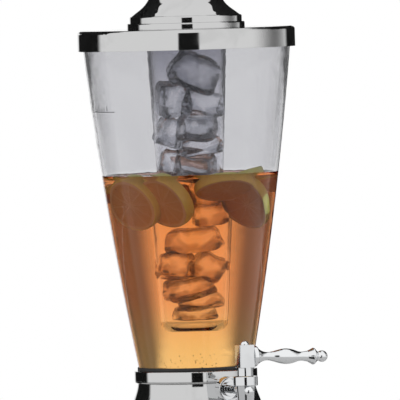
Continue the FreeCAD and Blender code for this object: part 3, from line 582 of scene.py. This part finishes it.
def slice_face(r, a, half, radius, seed):
    """Height of a lemon slice's face over its middle plane, with the segments pressed in."""
    share = r / radius
    if share > FLESH_SHARE:
        return half * (1.0 - PITH_DROP * (share - FLESH_SHARE) / PITH_SHARE)
    part = (a / (2 * math.pi) * LEMON_SEGMENTS) % 1.0
    gap = (0.5 - abs(part - 0.5)) * share
    sunk = min(1.0, max(0.0, (gap - MEMBRANE_SHARE) / 0.05))
    sunk *= min(1.0, max(0.0, (share - CORE_SHARE) / 0.1))
    sunk *= min(1.0, (FLESH_SHARE - share) / 0.05)
    lumps = noise.noise(Vector((r, 4 * a, seed)))
    return half - SEGMENT_DEPTH * sunk + SEGMENT_LUMPS * lumps * sunk


def lemon_slice(name, centre, facing, radius, thick, seed):
    """A round slice with a rounded rind and segments pressed slightly into its faces."""
    bm = bmesh.new()
    half = thick / 2
    phase = random.Random(seed).random() * math.pi
    face = [radius * FACE_SHARE * i / SLICE_RINGS for i in range(1, SLICE_RINGS + 1)]
    profile = [("top", r) for r in face]
    profile += [("edge", math.pi * (k / RIND_STEPS)) for k in range(1, RIND_STEPS)]
    profile += [("bottom", r) for r in reversed(face)]
    grid = {}
    for s in range(SLICE_STEPS):
        a = 2 * math.pi * s / SLICE_STEPS
        shape = 1 + SLICE_OVAL * math.sin(2 * a + phase) + SLICE_WAVE * math.sin(5 * a + seed)
        for q, (kind, value) in enumerate(profile):
            if kind == "edge":
                r = radius * FACE_SHARE + radius * RIND_SHARE * math.sin(value)
                z = half * math.cos(value) * (RIND_DROP + PITH_DROP * abs(math.cos(value)))
            else:
                r = value
                z = slice_face(r, a, half, radius, seed) * (1 if kind == "top" else -1)
            place = (r * shape * math.cos(a) * MM, r * shape * math.sin(a) * MM, z * MM)
            grid[s, q] = bm.verts.new(place)
    top = bm.verts.new((0, 0, half * MM))
    bottom = bm.verts.new((0, 0, -half * MM))
    last = len(profile) - 1
    for s in range(SLICE_STEPS):
        e = (s + 1) % SLICE_STEPS
        bm.faces.new((top, grid[s, 0], grid[e, 0]))
        bm.faces.new((bottom, grid[e, last], grid[s, last]))
        for q in range(last):
            bm.faces.new((grid[s, q], grid[s, q + 1], grid[e, q + 1], grid[e, q]))
    obj = add_mesh(name, bm, LEMON)
    spin = Matrix.Rotation(seed * SLICE_SPIN, 4, "Z")
    aim = Vector(facing).normalized().to_track_quat("Z", "Y").to_matrix().to_4x4()
    obj.matrix_world = Matrix.Translation(Vector(centre) * MM) @ aim @ spin
    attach(obj, "stand")


def bubbles():
    """Small gas bubbles low on the tank's front wall and near the drink's surface."""
    bm = bmesh.new()
    places = []
    for count, *spans in BUBBLES:
        for _ in range(count):
            places.append([random.uniform(*span) for span in spans])
    for a, z, r in places:
        reach = tank_inner(z) - r - BUBBLE_GAP
        place = Vector((reach * math.sin(a), -reach * math.cos(a), z)) * MM
        where = Matrix.Translation(place)
        bmesh.ops.create_icosphere(bm, subdivisions=2, radius=r * MM, matrix=where)
    obj = add_mesh("bubbles", bm, gas())
    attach(obj, "stand")


def seal_lip():
    """The lip of the rubber seal that stands up between the collar and the tank."""
    bm = bmesh.new()
    rings = rings_of(bm, LIP_SECTION, ROUND_STEPS)
    for i in range(ROUND_STEPS):
        j = (i + 1) % ROUND_STEPS
        for a, b in zip(rings, rings[1:] + rings[:1]):
            bm.faces.new((a[i], a[j], b[j], b[i]))
    obj = add_mesh("seal_lip", bm, bpy.data.materials["black_rubber_skin"])
    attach(obj, "stand")


def fill_mark():
    """A plain level line on the tank with a few ticks above it."""
    bm = bmesh.new()

    def strip(angles, levels, parts):
        rows = []
        for i in range(parts + 1):
            a = math.radians(angles[0] + (angles[1] - angles[0]) * i / parts)
            row = []
            for z in levels:
                for lift in MARK_FACES:
                    r = (tank_inner(z) + TANK_WALL + lift) * MM
                    row.append(bm.verts.new((r * math.sin(a), -r * math.cos(a), z * MM)))
            rows.append(row)
        for p, q in zip(rows, rows[1:]):
            for i, j in ((0, 1), (1, 3), (3, 2), (2, 0)):
                bm.faces.new((p[i], p[j], q[j], q[i]))
        for row in (rows[0], rows[-1]):
            bm.faces.new((row[0], row[1], row[3], row[2]))

    strip(*MARK_LINE)
    for k in range(TICKS):
        a = TICK_START + TICK_STEP * k
        head = LONG_TICK_HEAD if k % 3 == 0 else TICK_HEAD
        strip((a, a + TICK_WIDTH), (TICK_FOOT, head), 1)
    obj = add_mesh("fill_mark", bm, printed_mark(), smooth=False)
    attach(obj, "stand")


# painted shade at the ice's edges: grey in air, brown inside the tea
DRY_ICE = ice("clear_ice", 1.50, (0.36, 0.37, 0.40))
WET_ICE = ice("ice_in_tea", 1.36, (0.36, 0.27, 0.18))  # a high index looks dull inside the tea
LEMON = lemon_skin(LEMON_RADIUS * MM)

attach(drink(), "stand")
CUBES = (
    # centre, size, turn in degrees
    ((13.5, -2.0, 315.0), (24, 25, 23), (6, -6, 12)),
    ((1.0, 0.0, 289.5), (42, 32, 26), (8, -6, -8)),
    ((-13.0, -3.0, 264.0), (25, 27, 27), (-10, 10, 20)),
    ((11.8, 3.0, 262.5), (27, 28, 27), (14, 34, 15)),
    ((-4.0, -1.0, 240.5), (37, 30, 23), (8, -14, 14)),
    ((5.5, 1.0, 226.5), (33, 28, 17), (-8, -14, -12)),
    ((0.5, -1.0, 215.0), (31, 31, 17), (0, 0, 10)),
    ((8.0, 0.0, 457.0), (48, 44, 37), (14, 26, 10)),
    ((-15.0, -10.0, 431.0), (31, 30, 37), (12, -8, 25)),
    ((12.5, -2.0, 424.0), (42, 38, 25), (-12, 14, 8)),
    ((8.5, -4.0, 402.0), (38, 38, 27), (14, 4, -15)),
    ((-18.5, -2.0, 396.5), (26, 29, 31), (10, 16, 30)),
    ((11.0, -3.0, 380.5), (40, 33, 20), (-6, -6, 12)),
    ((5.5, 0.0, 361.5), (40, 36, 25), (12, 10, -20)),
    ((-20.0, -3.0, 366.0), (20, 26, 25), (-10, 8, 15)),
    ((11.0, 3.0, 338.0), (28, 28, 26), (10, 18, 5)),
    ((-12.0, 4.0, 333.0), (26, 26, 26), (5, -15, 20)),
)
for number, (centre, size, turn) in enumerate(CUBES, 1):
    material = WET_ICE if centre[2] < DRINK_LEVEL else DRY_ICE
    ice_cube(f"ice_cube_{number:02d}", centre, size, turn, number, material)

SLICES = (
    # centre, direction that the seen face looks in, thickness
    ((-50.0, -28.0, 327.5), (-0.66, -0.58, -0.48), 13.0),
    ((-22.0, -48.0, 329.0), (-0.66, -0.56, -0.50), 12.5),
    ((32.0, -46.5, 341.5), (0.10, -0.34, -0.93), 9.0),
    ((51.0, -22.0, 325.0), (-0.46, -0.74, -0.48), 12.0),
    ((49.0, 24.0, 345.5), (-0.30, 0.12, 0.94), 8.0),
    ((-40.0, 44.0, 341.0), (-0.22, 0.26, 0.93), 8.0),
)
for number, (centre, facing, thick) in enumerate(SLICES, 1):
    lemon_slice(f"lemon_slice_{number}", centre, facing, LEMON_RADIUS, thick, number)
bubbles()
fill_mark()
seal_lip()


# ---- floor, studio and lamps (metres) ------------------------------------------------------

FLOOR_NEAR, FLOOR_FAR = 0.55, 1.7  # the floor turns white between these radii
FLOOR_RADIUS = 20.0
FLOOR_STEPS, FLAG_STEPS = 96, 24
WHITE = (1, 1, 1, 1)
WORLD_FILL = 0.55  # strength of the world as a light; the camera sees it at 1
LAMP_AIM = (0, 0, 0.3)

BLACK, DIM, GREY = 0.006, 0.45, 0.32  # shades of the flags
# foot and head of the flags, as (radius, level)
UPRIGHT = ((1.6, 0.01), (1.6, 1.9))
LOW_UPRIGHT = ((1.6, 0.01), (1.6, 0.62))
FAR_UPRIGHT = ((1.65, 0.01), (1.65, 1.9))
RAISED = ((1.63, 0.75), (1.63, 2.6))
LYING = ((0.3, 0.003), (1.6, 0.003))
CARD = ((1.7, 0.30), (1.7, 1.9))
CARD_RISE = 0.05
FLAGS = (
    # name, from and to angle in degrees from the front, foot and head, soft ends, shade
    ("flag_front", -9, 14, LOW_UPRIGHT, 2, BLACK),
    ("flag_left", -160, -98, UPRIGHT, 8, BLACK),
    ("flag_right", 124, 173, UPRIGHT, 8, BLACK),
    ("flag_dim_right", 70, 140, FAR_UPRIGHT, 35, DIM),
    ("flag_high_left", -190, -98, RAISED, 8, BLACK),
    ("flag_high_right", 98, 190, RAISED, 8, BLACK),
    ("cloth_front", -9, 14, LYING, 2, BLACK),
    ("cloth_left", -160, -98, LYING, 8, BLACK),
    ("cloth_right", 124, 173, LYING, 8, BLACK),
)


def seen_directly(tree):
    """1 for camera, glossy and transmission rays, else 0."""
    path = tree.nodes.new("ShaderNodeLightPath")
    total = path.outputs["Is Camera Ray"]
    for key in ("Is Glossy Ray", "Is Transmission Ray"):
        n = tree.nodes.new("ShaderNodeMath")
        n.operation = "MAXIMUM"
        tree.links.new(total, n.inputs[0])
        tree.links.new(path.outputs[key], n.inputs[1])
        total = n.outputs[0]
    return total


def make_world():
    """A world that is white to look at and dimmer as a light."""
    world = bpy.data.worlds.new("studio")
    scene.world = world
    world.use_nodes = True
    tree = world.node_tree
    tree.nodes.clear()
    out = tree.nodes.new("ShaderNodeOutputWorld")
    shaders = []
    for strength in (WORLD_FILL, 1.0):
        n = tree.nodes.new("ShaderNodeBackground")
        n.inputs["Color"].default_value = WHITE
        n.inputs["Strength"].default_value = strength
        shaders.append(n.outputs[0])
    mix_shaders(tree, seen_directly(tree), *shaders, out)


def make_floor():
    """A pale floor that takes the object's shadow and turns white further out."""
    bm = bmesh.new()
    bmesh.ops.create_circle(bm, cap_ends=True, segments=FLOOR_STEPS, radius=FLOOR_RADIUS)
    m = Mat("pale_floor", Specular_IOR_Level=0.0)
    grain = m.noise(60, 3)
    m.set("Base Color", m.mixed(m.noise(5, 3), (0.86, 0.86, 0.86), (0.83, 0.83, 0.83)))
    m.set("Roughness", m.ranged(grain, 0.3, 0.7, 0.5, 0.65))
    m.bump(grain, 0.05, 0.0003)
    far = m.ranged(m.length(m.coord), FLOOR_NEAR, FLOOR_FAR, smooth=True)
    white = m.math("MULTIPLY", far, seen_directly(m.tree))
    glow = m.node("ShaderNodeEmission")
    mix_shaders(m.tree, white, m.bsdf.outputs[0], glow.outputs[0], m.out)
    obj = add_mesh("floor", bm, m.mat, smooth=False)


def flag(name, start, end, span, fade, shade, through=False, rise=0.0):
    """A neutral cloth on an arc round the object, with soft edges.

    span is its foot and head. fade is the width of its soft ends in degrees, and rise the height
    of a soft lower edge. Only reflections see it, or with through only light through glass.
    """
    bm = bmesh.new()
    rows = []
    for i in range(FLAG_STEPS + 1):
        a = math.radians(start + (end - start) * i / FLAG_STEPS)
        rows.append([bm.verts.new((r * math.sin(a), -r * math.cos(a), z)) for r, z in span])
    for p, q in zip(rows, rows[1:]):
        bm.faces.new((p[0], q[0], q[1], p[1]))
    m = Mat(name + "_cloth")
    weave = m.noise(30, 2)
    m.set("Base Color", m.mixed(weave, (0.94 * shade,) * 3, (shade,) * 3))
    m.set("Roughness", m.ranged(weave, 0.3, 0.7, 0.85, 0.98))
    m.bump(weave, 0.2, 0.0005)
    x, y, z = m.split()
    turn = m.math("ARCTAN2", x, m.math("MULTIPLY", y, -1.0))
    degrees = m.math("MULTIPLY", turn, 180 / math.pi)
    cover = m.math(
        "MULTIPLY",
        m.ranged(degrees, start, start + fade, smooth=True),
        m.ranged(degrees, end - fade, end, 1.0, 0.0, smooth=True),
    )
    if rise:
        foot = span[0][1]
        cover = m.math("MULTIPLY", cover, m.ranged(z, foot, foot + rise, smooth=True))
    clear = m.node("ShaderNodeBsdfTransparent")
    mix_shaders(m.tree, cover, clear.outputs[0], m.bsdf.outputs[0], m.out)
    obj = add_mesh(name, bm, m.mat)
    for kind in ("camera", "diffuse", "volume_scatter", "shadow"):
        setattr(obj, "visible_" + kind, False)
    obj.visible_transmission = through
    obj.visible_glossy = not through


def lamp(name, place, size, radiance):
    """A square softbox that lights the object but isn't seen in it."""
    data = bpy.data.lights.new(name, "AREA")
    data.shape = "RECTANGLE"
    data.size = data.size_y = size
    data.energy = math.pi * size * size * radiance
    obj = bpy.data.objects.new(name, data)
    scene.collection.objects.link(obj)
    obj.location = place
    obj.rotation_euler = (Vector(LAMP_AIM) - Vector(place)).to_track_quat("-Z", "Y").to_euler()
    obj.visible_camera = obj.visible_glossy = obj.visible_transmission = False


make_world()
make_floor()
for entry in FLAGS:
    flag(*entry)
flag("grey_card_left", -172, -120, CARD, 16, GREY, through=True, rise=CARD_RISE)
flag("grey_card_right", 120, 172, CARD, 16, GREY, through=True, rise=CARD_RISE)
lamp("key_softbox", place=(-2.2, -2.0, 2.6), size=1.8, radiance=1.5)
lamp("fill_softbox", place=(2.6, -1.4, 1.7), size=1.6, radiance=1.0)


# ---- camera --------------------------------------------------------------------------------

CAMERA_DISTANCE, CAMERA_HEIGHT = 9.16, 0.600  # metres
CAMERA_X, CAMERA_AIM_LEVEL = 0.0093, 0.3258
CAMERA_LENS, CAMERA_SENSOR, CAMERA_FAR = 810.0, 36.0, 60.0  # mm, mm, metres
CAMERA_ROLL = -1.67  # degrees

camera_data = bpy.data.cameras.new("camera")
camera_data.lens = CAMERA_LENS
camera_data.sensor_width = CAMERA_SENSOR
camera_data.clip_end = CAMERA_FAR
camera = bpy.data.objects.new("camera", camera_data)
scene.collection.objects.link(camera)
camera.location = (CAMERA_X, -CAMERA_DISTANCE, CAMERA_HEIGHT)
look = Vector((CAMERA_X, 0, CAMERA_AIM_LEVEL)) - camera.location
roll = Matrix.Rotation(math.radians(CAMERA_ROLL), 3, "Z")
camera.rotation_euler = (look.to_track_quat("-Z", "Y").to_matrix() @ roll).to_euler()
scene.camera = camera

scene.view_settings.view_transform = "Standard"
# Light crosses tank, tea, tube and ice on its way in and out.
scene.cycles.max_bounces = 32
scene.cycles.transmission_bounces = 32
scene.cycles.glossy_bounces = 12
scene.cycles.diffuse_bounces = 4
scene.cycles.transparent_max_bounces = 16
scene.cycles.sample_clamp_indirect = 8.0
